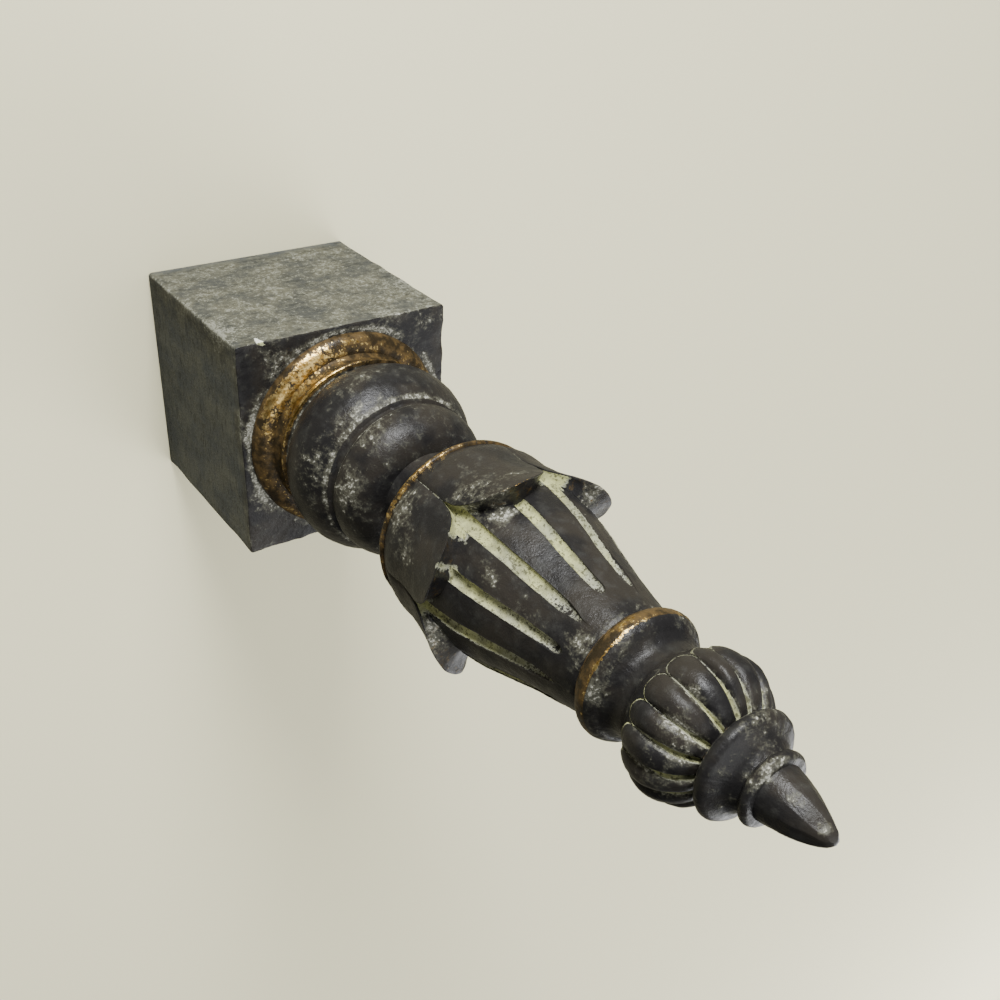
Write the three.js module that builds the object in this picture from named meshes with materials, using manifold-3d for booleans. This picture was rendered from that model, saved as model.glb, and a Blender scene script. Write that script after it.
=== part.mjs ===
// A painted and gilded roof finial: a square plinth with a turned and carved shaft, standing on
// its plinth. Millimetres, +Z along the shaft towards the tip, origin at the centre of the underside.
// The shaft is made as a turner and a carver would: each stretch is turned on a lathe, the leaves,
// flutes and gadroons are cut into it, and all of it is one solid.

import * as THREE from 'three';
import { mergeVertices } from 'three/addons/utils/BufferGeometryUtils.js';
import Module from 'manifold-3d';

const wasm = await Module();
wasm.setup();

// Plinth: the side of a four-inch post.
const plinthSide = 90;
const plinthHeight = 88;
const plinthCornerRadius = 1.4;
const plinthEdgeBevel = 0.7;

// Gilt ring on the plinth: a convex band, a cove and a small fillet.
const ringFootRadius = 41.4;
const ringBandHeight = 5.4;
const ringBandTopRadius = 34.6;
const ringCoveRadius = 33.6;
const ringCoveHeight = 6.6;
const ringFilletRadius = 34.7;
const ringFilletHeight = 1.2;

// Ball, the quirk cut round it, and the smaller shoulder above.
const ballRadius = 37.6;
const ballRound = 20.2;
const ballFootAngle = 44.5;
const ballTopAngle = 47.7;
const quirkHeight = 4.6;
const quirkDepth = 1.7;
const quirkLip = 0.6;
const shoulderRadius = 30.8;
const shoulderHeight = 15.4;

// Waist and the bell that opens to the gilt fillet under the leaves.
const waistRadius = 17.8;
const waistHeight = 3;
const bellHeight = 18;
const bellTopRadius = 31.2;
const cupFilletRadius = 33;
const cupFilletHeight = 2.4;

// Leaves: six broad lobes with thick tips that stand out from the fluted body.
const leafCount = 6;
const leafFootRadius = 32.2;
const leafBulgeRadius = 34.8;
const leafTipRadius = 39.8;
const leafNotchHeight = 18.4;
const leafTipHeight = 39;
const leafRoundness = 1.9;
const leafValleyDepth = 1.3;
const leafTipUndercut = 2;
const ornamentTurn = 7.5;

// Fluted body, which tapers from the notches of the leaves to the collar.
const bodyHeight = 89.2;
const bodyNotchRadius = 33;
const bodyMiddleRadius = 29.7;
const bodyEndRadius = 19.6;
const flutesPerLeaf = 2;
const fluteWidth = 4;
const fluteDepth = 1.7;
const fluteEndGap = 8.4;

// Collar, and the neck between it and the gadrooned melon.
const collarRadius = 22.5;
const collarRound = 5.4;
const collarFootAngle = 62;
const collarTopAngle = 70;
const collarHeight = 18.4;
const collarNeckRadius = 16.6;
const collarNeckHeight = 2;

// Melon with sixteen gadroons.
const melonRadius = 24.1;
const melonHalfHeight = 18;
const melonFootAngle = 45.3;
const melonTopAngle = 50;
const melonBandHeight = 8.2;
const gadroonCount = 16;
const gadroonDepth = 2;
const gadroonRunIn = 5;
const gadroonFullness = 1.6;
const gadroonTurn = 4.5;

// Two discs and the blunt bud at the tip.
const crownNeckRadius = 13.4;
const crownNeckHeight = 1.6;
const lowerDiscRadius = 17.8;
const lowerDiscHeight = 5.4;
const lowerDiscShoulder = 5.5;
const upperNeckRadius = 10.2;
const upperNeckSetback = 0.4;
const upperDiscRadius = 12;
const upperDiscHeight = 4;
const budRadius = 9;
const budHeight = 20.2;
const budTipRadius = 1.5;

// How far each stretch of the shaft runs into the next one.
const spigot = 1.2;

const turnColumns = 40;
const crownColumns = 28;

const paint = new THREE.MeshStandardMaterial({ color: 0x37352f, roughness: 0.5, metalness: 0 });

const degrees = Math.PI / 180;
const point = (radius, height) => new THREE.Vector2(radius, height);
const mix = THREE.MathUtils.lerp;
const range = (count) => Array.from({ length: count }, (_, i) => i);

// A smooth curve of the turned profile through a few points, without its first point.
function throughPoints(points, steps) {
  return new THREE.SplineCurve(points).getPoints(steps).slice(1);
}

// A quarter or half round between two heights: radius = core + round * cos(angle).
function roundMoulding(core, round, middle, halfHeight, fromAngle, toAngle, steps) {
  return range(steps + 1).map((i) => {
    const angle = mix(fromAngle, toAngle, i / steps) * degrees;
    return point(core + round * Math.cos(angle), middle + halfHeight * Math.sin(angle));
  });
}

// A round solid about +Z. place(row, azimuth) gives the radius and height of each point of the skin,
// so a plain turning ignores the azimuth and a carved one doesn't.
function roundSolid(rowCount, azimuths, place) {
  const blank = [point(0, 0), ...range(rowCount).map((row) => point(1, row)), point(0, rowCount - 1)];
  const geometry = new THREE.LatheGeometry(blank, azimuths.length);
  const positions = geometry.attributes.position;
  for (let column = 0; column <= azimuths.length; column += 1) {
    const azimuth = azimuths[column % azimuths.length];
    for (let i = 0; i < blank.length; i += 1) {
      const row = Math.min(Math.max(i - 1, 0), rowCount - 1);
      const skin = place(row, azimuth);
      const radius = i === 0 || i === blank.length - 1 ? 0 : skin.x;
      const x = radius * Math.cos(azimuth * degrees);
      const y = radius * Math.sin(azimuth * degrees);
      const height = radius === 0 ? place(row, azimuths[0]).y : skin.y;
      positions.setXYZ(column * blank.length + i, x, y, height);
    }
  }
  return solidOf(geometry);
}

function evenAzimuths(count) {
  return range(count).map((i) => (360 * i) / count);
}

function turned(profile, columns) {
  return roundSolid(profile.length, evenAzimuths(columns), (row) => profile[row]);
}

// A closed geometry becomes a solid: corners that meet are merged and empty triangles dropped.
function solidOf(geometry) {
  geometry.deleteAttribute('normal');
  geometry.deleteAttribute('uv');
  const merged = mergeVertices(geometry);
  const corners = merged.index.array;
  const kept = [];
  for (let i = 0; i < corners.length; i += 3) {
    const [a, b, c] = [corners[i], corners[i + 1], corners[i + 2]];
    if (a !== b && b !== c && c !== a) kept.push(a, b, c);
  }
  const vertProperties = Float32Array.from(merged.attributes.position.array);
  const triVerts = Uint32Array.from(kept);
  const mesh = new wasm.Mesh({ numProp: 3, vertProperties, triVerts });
  return new wasm.Manifold(mesh);
}

function geometryOf(solid) {
  const mesh = solid.getMesh();
  const geometry = new THREE.BufferGeometry();
  geometry.setAttribute('position', new THREE.BufferAttribute(mesh.vertProperties, 3));
  geometry.setIndex(new THREE.BufferAttribute(mesh.triVerts, 1));
  geometry.computeVertexNormals();
  return geometry;
}

// Plinth: a square block with rounded upright corners and softened edges.
function plinth() {
  const half = plinthSide / 2 - plinthEdgeBevel;
  const corner = plinthCornerRadius;
  const shape = new THREE.Shape();
  shape.moveTo(half, -half + corner);
  shape.lineTo(half, half - corner);
  shape.absarc(half - corner, half - corner, corner, 0, Math.PI / 2, false);
  shape.absarc(-half + corner, half - corner, corner, Math.PI / 2, Math.PI, false);
  shape.absarc(-half + corner, -half + corner, corner, Math.PI, 1.5 * Math.PI, false);
  shape.absarc(half - corner, -half + corner, corner, 1.5 * Math.PI, 2 * Math.PI, false);
  const block = new THREE.ExtrudeGeometry(shape, {
    depth: plinthHeight - 2 * plinthEdgeBevel,
    bevelEnabled: true,
    bevelThickness: plinthEdgeBevel,
    bevelSize: plinthEdgeBevel,
    bevelSegments: 1,
    curveSegments: 4,
  });
  block.translate(0, 0, plinthEdgeBevel);
  return solidOf(block);
}

// Ring, ball, shoulder, waist and the bell up to the gilt fillet.
const ringTop = plinthHeight + ringBandHeight + ringCoveHeight + ringFilletHeight;
const ballCore = ballRadius - ballRound;
const ballMiddle = ringTop + ballRound * Math.sin(ballFootAngle * degrees);
const ballTop = ballMiddle + ballRound * Math.sin(ballTopAngle * degrees);
const ballTopRadius = ballCore + ballRound * Math.cos(ballTopAngle * degrees);
const shoulderFoot = ballTop + quirkHeight;
const waistFoot = shoulderFoot + shoulderHeight;
const bellFoot = waistFoot + waistHeight;
const cupFilletFoot = bellFoot + bellHeight;
const leafFoot = cupFilletFoot + cupFilletHeight;

function baseTurning() {
  const bandTop = plinthHeight + ringBandHeight;
  const bandRound = ringFootRadius - ringBandTopRadius;
  const band = roundMoulding(ringBandTopRadius, bandRound, plinthHeight, ringBandHeight, 0, 90, 4);
  const cove = throughPoints([
    point(ringBandTopRadius, bandTop),
    point(ringCoveRadius, bandTop + 0.45 * ringCoveHeight),
    point(ringFilletRadius, bandTop + ringCoveHeight),
  ], 3);
  const ball = roundMoulding(ballCore, ballRound, ballMiddle, ballRound, -ballFootAngle, ballTopAngle, 8);
  const quirk = [
    point(ballTopRadius - quirkDepth, ballTop + quirkLip),
    point(ballTopRadius - quirkDepth, shoulderFoot - quirkLip),
  ];
  const shoulderCore = waistRadius;
  const shoulder = roundMoulding(
    shoulderCore, shoulderRadius - shoulderCore, shoulderFoot, shoulderHeight, 0, 90, 5);
  const bell = throughPoints([
    point(waistRadius, bellFoot),
    point(mix(waistRadius, bellTopRadius, 0.3), mix(bellFoot, cupFilletFoot, 0.55)),
    point(bellTopRadius, cupFilletFoot),
  ], 4);
  return turned([
    point(ringFootRadius, plinthHeight - spigot),
    ...band,
    ...cove,
    point(ringFilletRadius, ringTop),
    ...ball,
    ...quirk,
    ...shoulder,
    point(waistRadius, bellFoot),
    ...bell,
    point(cupFilletRadius, cupFilletFoot),
    point(cupFilletRadius, leafFoot),
  ], turnColumns);
}

// Leaf face at the middle of a leaf, from its foot to its tip.
const leafFace = new THREE.SplineCurve([
  point(leafFootRadius, 0),
  point(mix(leafFootRadius, leafBulgeRadius, 0.85), 0.17 * leafTipHeight),
  point(leafBulgeRadius, 0.42 * leafTipHeight),
  point(mix(leafBulgeRadius, leafTipRadius, 0.4), 0.74 * leafTipHeight),
  point(leafTipRadius, leafTipHeight),
]);

// The fluted body, from the notches of the leaves to its end.
const bodyFace = new THREE.SplineCurve([
  point(bodyNotchRadius, leafNotchHeight),
  point(mix(bodyNotchRadius, bodyMiddleRadius, 0.42), mix(leafNotchHeight, bodyHeight, 0.25)),
  point(bodyMiddleRadius, mix(leafNotchHeight, bodyHeight, 0.42)),
  point(mix(bodyMiddleRadius, bodyEndRadius, 0.58), mix(leafNotchHeight, bodyHeight, 0.72)),
  point(bodyEndRadius, bodyHeight),
]);

// The radius of a profile curve at a height.
function radiusAt(curve, height) {
  let low = 0;
  let high = 1;
  for (let i = 0; i < 24; i += 1) {
    const middle = (low + high) / 2;
    if (curve.getPoint(middle).y < height) low = middle;
    else high = middle;
  }
  return curve.getPoint(low).x;
}

const leafPitch = 360 / leafCount;
const flutePitch = leafPitch / flutesPerLeaf;
const fluteEnd = bodyHeight - fluteEndGap;
const fluteHalfAngle = fluteWidth / 2 / bodyMiddleRadius / degrees;

// Angle from the nearest of a ring of equal features, from minus to plus half their pitch.
function angleFromNearest(azimuth, turn, pitch) {
  const share = (azimuth - turn) / pitch;
  return (share - Math.round(share)) * pitch;
}

// Seams between the leaves lie at ornamentTurn, and every flute lies on a seam or under a tip.
function fromLeafMiddle(azimuth) {
  return angleFromNearest(azimuth, ornamentTurn + leafPitch / 2, leafPitch);
}

function leafEdgeHeight(azimuth) {
  const share = Math.abs(fromLeafMiddle(azimuth)) / (leafPitch / 2);
  const rise = Math.max(0, 1 - share ** leafRoundness) ** (1 / leafRoundness);
  return mix(leafNotchHeight, leafTipHeight, rise);
}

function leafRadius(azimuth, height) {
  const share = Math.abs(fromLeafMiddle(azimuth)) / (leafPitch / 2);
  const growth = Math.min(1, height / (0.4 * leafTipHeight));
  return radiusAt(leafFace, height) - leafValleyDepth * growth * share ** 2;
}

function fluteCut(azimuth, height) {
  const across = angleFromNearest(azimuth, ornamentTurn, flutePitch) / fluteHalfAngle;
  const pastEnd = Math.max(0, height - (fluteEnd - fluteWidth / 2)) / (fluteWidth / 2);
  return fluteDepth * Math.sqrt(Math.max(0, 1 - across ** 2)) * Math.sqrt(Math.max(0, 1 - pastEnd ** 2));
}

// Leaves and fluted body in one: rows up the leaf face, the end of the leaf, then down the taper.
function leafAndFluteBody() {
  const leafRows = [0, 0.18, 0.45, 0.75, 1];
  const taperRows = [0, 0.22, 0.46, 0.7, 0.9, 0.965, 1];
  const fluteShares = [0, 0.5, 1, 2.1];
  const azimuths = [];
  for (let flute = 0; flute < leafCount * flutesPerLeaf; flute += 1) {
    const middle = ornamentTurn + flute * flutePitch;
    const offsets = fluteShares.map((share) => share * fluteHalfAngle);
    azimuths.push(...offsets.map((offset) => middle + offset), middle + flutePitch / 2);
    azimuths.push(...offsets.slice(1).reverse().map((offset) => middle + flutePitch - offset));
  }
  const rowCount = 1 + leafRows.length + taperRows.length + 2;
  const place = (row, azimuth) => {
    if (row === 0) return point(leafFootRadius, leafFoot - spigot);
    const edge = leafEdgeHeight(azimuth);
    const leafRow = row - 1;
    if (leafRow < leafRows.length) {
      const height = edge * leafRows[leafRow];
      return point(leafRadius(azimuth, height), leafFoot + height);
    }
    const rise = (edge - leafNotchHeight) / (leafTipHeight - leafNotchHeight);
    const foot = edge - leafTipUndercut * rise;
    const taperRow = leafRow - leafRows.length;
    if (taperRow < taperRows.length) {
      const height = mix(foot, fluteEnd, taperRows[taperRow]);
      const radius = Math.min(radiusAt(bodyFace, height), leafRadius(azimuth, edge));
      return point(radius - fluteCut(azimuth, height), leafFoot + height);
    }
    const height = taperRow === taperRows.length ? bodyHeight : bodyHeight + spigot;
    return point(bodyEndRadius, leafFoot + height);
  };
  return roundSolid(rowCount, azimuths, place);
}

// Collar and neck.
const collarFoot = leafFoot + bodyHeight;
const melonFoot = collarFoot + collarHeight;

function collarTurning() {
  const core = collarRadius - collarRound;
  const middle = collarFoot + collarRound;
  const bead = roundMoulding(core, collarRound, middle, collarRound, -collarFootAngle, collarTopAngle, 6);
  const neck = throughPoints([
    bead[bead.length - 1],
    point(mix(collarNeckRadius, core, 0.4), mix(bead[bead.length - 1].y, melonFoot, 0.35)),
    point(collarNeckRadius, melonFoot - collarNeckHeight),
  ], 3);
  return turned([
    point(bead[0].x, collarFoot),
    ...bead.slice(1),
    ...neck,
    point(collarNeckRadius, melonFoot + spigot),
  ], turnColumns);
}

// Melon: a flattened ball whose gadroons start above a plain band and run to its end.
const melonBelow = melonHalfHeight * Math.sin(melonFootAngle * degrees);
const melonAbove = melonHalfHeight * Math.sin(melonTopAngle * degrees);
const melonMiddle = melonFoot + melonBelow;
const melonTop = melonMiddle + melonAbove;

function melonRadiusAt(height) {
  const share = height / melonHalfHeight;
  return melonRadius * Math.sqrt(1 - share ** 2);
}

function gadroonCut(azimuth, height) {
  const pitch = 360 / gadroonCount;
  const fromGroove = Math.abs(angleFromNearest(azimuth, gadroonTurn, pitch)) / pitch;
  const acrossCut = (1 - Math.sin(Math.PI * fromGroove)) ** gadroonFullness;
  const start = melonBandHeight - melonBelow;
  const alongCut = Math.min(1, Math.max(0, (height - start) / gadroonRunIn));
  return gadroonDepth * acrossCut * alongCut;
}

function gadroonedMelon() {
  const bandTop = melonBandHeight - melonBelow;
  const heights = [
    -melonBelow, mix(-melonBelow, bandTop, 0.5), bandTop,
    ...range(6).map((i) => mix(bandTop, melonAbove, (i + 1) / 6)),
  ];
  const shares = [0, 0.14, 0.32, 0.5, 0.68, 0.86];
  const azimuths = range(gadroonCount).flatMap((i) => shares.map(
    (share) => gadroonTurn + ((i + share) * 360) / gadroonCount));
  return roundSolid(heights.length, azimuths, (row, azimuth) => {
    const height = heights[row];
    return point(melonRadiusAt(height) - gadroonCut(azimuth, height), melonMiddle + height);
  });
}

// Neck, two discs and the bud.
function crownTurning() {
  const lowerDiscFoot = melonTop + crownNeckHeight;
  const lowerRound = lowerDiscHeight / 2;
  const lowerMiddle = lowerDiscFoot + lowerRound;
  const lowerCore = lowerDiscRadius - lowerRound;
  const lowerRim = roundMoulding(lowerCore, lowerRound, lowerMiddle, lowerRound, -90, 60, 5);
  const shoulderTop = lowerDiscFoot + lowerDiscHeight + lowerDiscShoulder;
  const upperRound = upperDiscHeight / 2;
  const upperMiddle = shoulderTop + upperRound;
  const upperRim = roundMoulding(
    upperDiscRadius - upperRound, upperRound, upperMiddle, upperRound, -70, 70, 4);
  const budFoot = shoulderTop + upperDiscHeight;
  const bud = throughPoints([
    point(budRadius, budFoot),
    point(0.8 * budRadius, budFoot + 0.4 * budHeight),
    point(0.46 * budRadius, budFoot + 0.75 * budHeight),
    point(budTipRadius, budFoot + budHeight),
  ], 6);
  return turned([
    point(crownNeckRadius, melonTop - spigot),
    point(crownNeckRadius, lowerDiscFoot),
    ...lowerRim,
    point(mix(lowerCore, upperNeckRadius, 0.6), lowerDiscFoot + lowerDiscHeight + 0.4 * lowerDiscShoulder),
    point(upperNeckRadius, shoulderTop - upperNeckSetback),
    ...upperRim,
    point(budRadius, budFoot),
    ...bud,
  ], crownColumns);
}

const stretches = [baseTurning(), leafAndFluteBody(), collarTurning(), gadroonedMelon(), crownTurning()];
const solid = stretches.reduce((joined, stretch) => joined.add(stretch), plinth());

const finial = new THREE.Mesh(geometryOf(solid), paint);
finial.name = 'finial';

const part = new THREE.Group();
part.add(finial);

export default part;
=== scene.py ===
# %% [markdown]
# # A turned and carved roof finial
#
# The real thing is one piece of wood about 345 mm long. A block is left square at its foot, and the
# rest is turned on a lathe. A carver then cut the leaves, the flutes and the gadroons, and a painter
# laid black paint over a cream ground and gilded the rings. We keep their order.

# %% The frame that the finial is built in
import math

import bpy
import numpy as np
from mathutils import Matrix, Vector


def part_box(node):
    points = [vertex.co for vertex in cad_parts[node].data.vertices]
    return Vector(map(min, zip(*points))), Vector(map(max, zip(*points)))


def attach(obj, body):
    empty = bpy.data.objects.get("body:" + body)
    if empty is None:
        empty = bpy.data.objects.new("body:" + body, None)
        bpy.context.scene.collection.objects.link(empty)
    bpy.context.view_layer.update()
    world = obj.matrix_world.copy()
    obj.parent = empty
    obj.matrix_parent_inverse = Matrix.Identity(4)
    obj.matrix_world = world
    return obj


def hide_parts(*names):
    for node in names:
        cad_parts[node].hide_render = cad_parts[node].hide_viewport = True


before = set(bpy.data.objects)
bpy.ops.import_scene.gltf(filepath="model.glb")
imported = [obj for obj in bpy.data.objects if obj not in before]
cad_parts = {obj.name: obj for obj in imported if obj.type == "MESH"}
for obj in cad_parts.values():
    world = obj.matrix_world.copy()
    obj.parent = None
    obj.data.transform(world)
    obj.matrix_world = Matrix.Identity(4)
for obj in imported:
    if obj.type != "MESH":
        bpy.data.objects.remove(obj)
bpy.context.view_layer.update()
MM = 0.001
low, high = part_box("finial")
block_side = (high.x - low.x) / MM
total_height = (high.z - low.z) / MM
print("block", round(block_side, 1), "mm square, height", round(total_height, 1), "mm")

# %% [markdown]
# ## The camera
#
# The photo looks past the bud to the block of a finial on its side. Ours stands on its block, so the
# camera keeps that line of sight and is rolled about it, and the finial shows as in the photo.

# %% Camera
photo_focal_px = 1160
photo_width_px = 1000
camera_place = Vector((-191.8, 218.6, 459.4)) * MM
camera_aim = Vector((11.1, 10.8, 179.5)) * MM
camera_roll = math.radians(128.17)

bpy.ops.object.select_all(action="DESELECT")
bpy.ops.object.camera_add(location=camera_place)
camera = bpy.context.object
camera.name = "camera"
camera.data.lens = camera.data.sensor_width * photo_focal_px / photo_width_px
line_of_sight = (camera_aim - camera_place).to_track_quat("-Z", "Y")
camera.rotation_mode = "QUATERNION"
camera.rotation_quaternion = line_of_sight @ Matrix.Rotation(camera_roll, 3, "Z").to_quaternion()
bpy.context.scene.camera = camera
print("lens", round(camera.data.lens, 1), "mm")

# %% [markdown]
# ## The turned outline
#
# A turner works to a profile of beads, coves and fillets. We write it as points of radius and height
# in millimetres, stacked from the underside. A bead is an arc, and a hollow is a smooth curve through
# a few points. Rows lie closest where a form turns sharply: each becomes a ring of the mesh.


# %% Helpers for arcs and smooth curves
def arc(core, swell, middle, rise, start, end, steps):
    """Points of a round moulding between two angles, in degrees."""
    angles = np.radians(np.linspace(start, end, steps + 1))
    return [(core + swell * math.cos(a), middle + rise * math.sin(a)) for a in angles]


def curve_through(points, steps):
    """A smooth curve through a few points of radius and height."""
    knots = [np.array(point, float) for point in points]
    last = len(knots) - 1
    curve = []
    for share in np.linspace(0, last, steps + 1):
        k = min(int(share), last - 1)
        w = share - k
        before, a, b, after = knots[max(k - 1, 0)], knots[k], knots[k + 1], knots[min(k + 2, last)]
        turn = (2 * before - 5 * a + 4 * b - after) * w**2 + (3 * a - before - 3 * b + after) * w**3
        curve.append(tuple(a + 0.5 * ((b - before) * w + turn)))
    return curve


def mix(a, b, share):
    """The value at this share of the way from a to b."""
    return a + (b - a) * share


outline = []
rows_of = {}


def add_stretch(name, points):
    """Append one moulding to the outline and remember which rows it takes up."""
    rows_of[name] = slice(len(outline), len(outline) + len(points))
    outline.extend(points)


print("a bead of 4 mm ends at", arc(10, 2, 0, 2, -90, 90, 3)[-1])

# %% [markdown]
# ## Block and ring
#
# The block is the squared timber that the turner left uncut. Here it is a drum, and it is squared
# afterwards. The ring that hides the step is a fat gilded band, a narrow cove and a small fillet.

# %% Block and ring
block_height = 88
block_bevel = 0.7
half = block_side / 2
add_stretch("underside", [(0, 0), (15, 0), (30, 0)])
add_stretch("lower arris", arc(half - block_bevel, block_bevel, block_bevel, block_bevel, -90, 0, 3))
side_heights = np.linspace(block_bevel, block_height - block_bevel, 13)[1:-1]
add_stretch("block side", [(half, z) for z in side_heights])
upper_arris_foot = block_height - block_bevel
add_stretch("upper arris", arc(half - block_bevel, block_bevel, upper_arris_foot, block_bevel, 0, 90, 3))

ring_foot_radius = 41.4
ring_band_height = 5.4
ring_band_top_radius = 34.6
ring_cove_radius = 33.6
ring_cove_height = 6.6
ring_fillet_radius = 34.7
ring_fillet_height = 1.2
ring_fillet_round = 0.5
face_radii = np.linspace(half - block_bevel, ring_foot_radius, 7)[1:]
add_stretch("block top", [(radius, block_height) for radius in face_radii])
band_top = block_height + ring_band_height
band_swell = ring_foot_radius - ring_band_top_radius
add_stretch("ring band", arc(ring_band_top_radius, band_swell, block_height, ring_band_height, 4, 84, 9))
cove_top = band_top + ring_cove_height
add_stretch("ring cove", curve_through([
    (ring_band_top_radius, band_top),
    (ring_cove_radius, band_top + 0.45 * ring_cove_height),
    (ring_fillet_radius, cove_top),
], 8))
ring_top = cove_top + ring_fillet_height
fillet_middle = mix(cove_top, ring_top, 0.5)
add_stretch("ring fillet", arc(
    ring_fillet_radius - 0.3, ring_fillet_round, fillet_middle, ring_fillet_round, -70, 70, 3))
print("ring ends at", round(ring_top, 1), "mm")

# %% [markdown]
# ## Ball, quirk and shoulder
#
# The ball is the widest bead. A quirk, which is a narrow groove, parts it from the smaller shoulder
# that rolls over into the waist. The waist opens like a bell to a thin fillet under the leaves.

# %% Ball, shoulder and bell
ball_radius = 37.6
ball_round = 20.2
ball_foot_angle = 44.5
ball_top_angle = 47.7
ball_core = ball_radius - ball_round
ball_middle = ring_top + ball_round * math.sin(math.radians(ball_foot_angle))
add_stretch("ball", arc(ball_core, ball_round, ball_middle, ball_round, -ball_foot_angle, ball_top_angle, 25))
ball_top_radius, ball_top = outline[-1]

quirk_height = 4.6
quirk_depth = 1.7
shoulder_radius = 30.8
shoulder_height = 15.4
shoulder_foot = ball_top + quirk_height
add_stretch("quirk", curve_through([
    (ball_top_radius - 0.3, ball_top + 0.3),
    (ball_top_radius - quirk_depth, ball_top + 1.2),
    (ball_top_radius - quirk_depth, shoulder_foot - 1.0),
    (shoulder_radius - 0.3, shoulder_foot - 0.2),
], 7))
waist_radius = 17.8
waist_height = 3
add_stretch("shoulder", arc(
    waist_radius, shoulder_radius - waist_radius, shoulder_foot, shoulder_height, 2, 88, 14))
bell_foot = shoulder_foot + shoulder_height + waist_height
bell_height = 18
bell_top_radius = 31.2
cup_foot = bell_foot + bell_height
add_stretch("bell", curve_through([
    (waist_radius, bell_foot),
    (mix(waist_radius, bell_top_radius, 0.3), mix(bell_foot, cup_foot, 0.55)),
    (bell_top_radius, cup_foot),
], 13))
cup_fillet_radius = 33
cup_fillet_height = 2.4
cup_fillet_round = cup_fillet_height / 2
add_stretch("cup fillet", arc(
    cup_fillet_radius - cup_fillet_round, cup_fillet_round, cup_foot + cup_fillet_round, cup_fillet_round,
    -90, 80, 5))
leaf_foot = cup_foot + cup_fillet_height
print("leaves start at", round(leaf_foot, 1), "mm")

# %% [markdown]
# ## Leaves and fluted body
#
# Six broad leaves stand out from the body, and two flutes run down the taper for each leaf. Here this
# stretch is a plain drum with enough rows. The carving moves them to follow each leaf's edge.

# %% Leaves and body, as a blank
leaf_count = 6
leaf_foot_radius = 32.2
leaf_bulge_radius = 34.8
leaf_tip_radius = 39.8
leaf_tip_height = 39
leaf_notch_height = 18.4
leaf_root = 0.2
body_height = 89.2
body_notch_radius = 33
body_middle_radius = 29.7
body_end_radius = 19.6
leaf_rows = 22
leaf_end_rows = 11
body_rows = 38
add_stretch("leaf face", curve_through([
    (leaf_foot_radius, leaf_foot + leaf_root),
    (leaf_tip_radius, leaf_foot + leaf_tip_height)], leaf_rows - 1))
add_stretch("leaf end", curve_through([
    (leaf_tip_radius - 0.5, leaf_foot + leaf_tip_height),
    (body_middle_radius + 2, leaf_foot + leaf_tip_height)], leaf_end_rows - 1))
collar_foot = leaf_foot + body_height
add_stretch("body", curve_through([
    (body_middle_radius + 1.5, leaf_foot + leaf_tip_height), (body_end_radius, collar_foot)], body_rows - 1))
print("body ends at", round(collar_foot, 1), "mm")

# %% [markdown]
# ## Collar, melon and crown
#
# The collar is a bead with a gilded line on its crest. The knob above it is a melon, a flattened ball
# that gets its gadroons by carving. Two discs and a blunt bud finish the piece.

# %% Collar and melon
collar_radius = 22.5
collar_round = 5.4
collar_height = 18.4
collar_neck_radius = 16.6
collar_core = collar_radius - collar_round
add_stretch("collar", arc(collar_core, collar_round, collar_foot + collar_round, collar_round, -66, 70, 15))
melon_foot = collar_foot + collar_height
add_stretch("neck", curve_through([
    outline[-1],
    (mix(collar_neck_radius, collar_core, 0.4), mix(outline[-1][1], melon_foot, 0.35)),
    (collar_neck_radius, melon_foot - 1.6),
], 8)[1:])

melon_radius = 24.1
melon_half_height = 18
melon_foot_angle = 45.3
melon_top_angle = 50
band_rows = 7
gadroon_rows = 28
melon_middle = melon_foot + melon_half_height * math.sin(math.radians(melon_foot_angle))
melon_top = melon_middle + melon_half_height * math.sin(math.radians(melon_top_angle))
melon = arc(0, melon_radius, melon_middle, melon_half_height, -melon_foot_angle, melon_top_angle,
            band_rows + gadroon_rows - 1)
add_stretch("melon band", melon[:band_rows])
add_stretch("gadroons", melon[band_rows:])
print("melon ends at", round(melon_top, 1), "mm")

# %% Crown
crown_neck_radius = 13.4
crown_neck_height = 1.6
lower_disc_radius = 17.8
lower_disc_height = 5.4
lower_disc_shoulder = 5.5
upper_neck_radius = 10.2
upper_disc_radius = 12
upper_disc_height = 4
bud_radius = 9
bud_height = 20.2
bud_tip_radius = 2.2
bud_tip_round = 0.25
disc_foot = melon_top + crown_neck_height
lower_round = lower_disc_height / 2
lower_core = lower_disc_radius - lower_round
add_stretch("crown neck", [(crown_neck_radius, melon_top + 0.3), (crown_neck_radius, disc_foot - 0.2)])
add_stretch("lower disc", arc(lower_core, lower_round, disc_foot + lower_round, lower_round, -88, 62, 10))
shoulder_top = disc_foot + lower_disc_height + lower_disc_shoulder
add_stretch("disc shoulder", curve_through([
    outline[-1],
    (mix(lower_core, upper_neck_radius, 0.6), disc_foot + lower_disc_height + 0.4 * lower_disc_shoulder),
    (upper_neck_radius, shoulder_top - 0.4),
], 7)[1:])
upper_round = upper_disc_height / 2
add_stretch("upper disc", arc(
    upper_disc_radius - upper_round, upper_round, shoulder_top + upper_round, upper_round, -70, 75, 8))
bud_foot = shoulder_top + upper_disc_height
add_stretch("bud", curve_through([
    (bud_radius, bud_foot),
    (0.82 * bud_radius, bud_foot + 0.4 * bud_height),
    (0.52 * bud_radius, bud_foot + 0.75 * bud_height),
    (bud_tip_radius, bud_foot + 0.96 * bud_height),
], 14))
bud_top = bud_foot + bud_height
add_stretch("tip", [
    (0.82 * bud_tip_radius, bud_top - bud_tip_round), (0.5 * bud_tip_radius, bud_top), (0, bud_top)])
print(len(outline), "rows, tip at", round(outline[-1][1], 1), "mm")

# %% [markdown]
# ## Turning the blank
#
# The lathe is Blender's spin. A tiny plane merged to its centre gives one point on the axis. We
# extrude it along the outline, spin the line once round and merge the seam and the poles. Each point
# keeps the number of its row for the carving.

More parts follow.
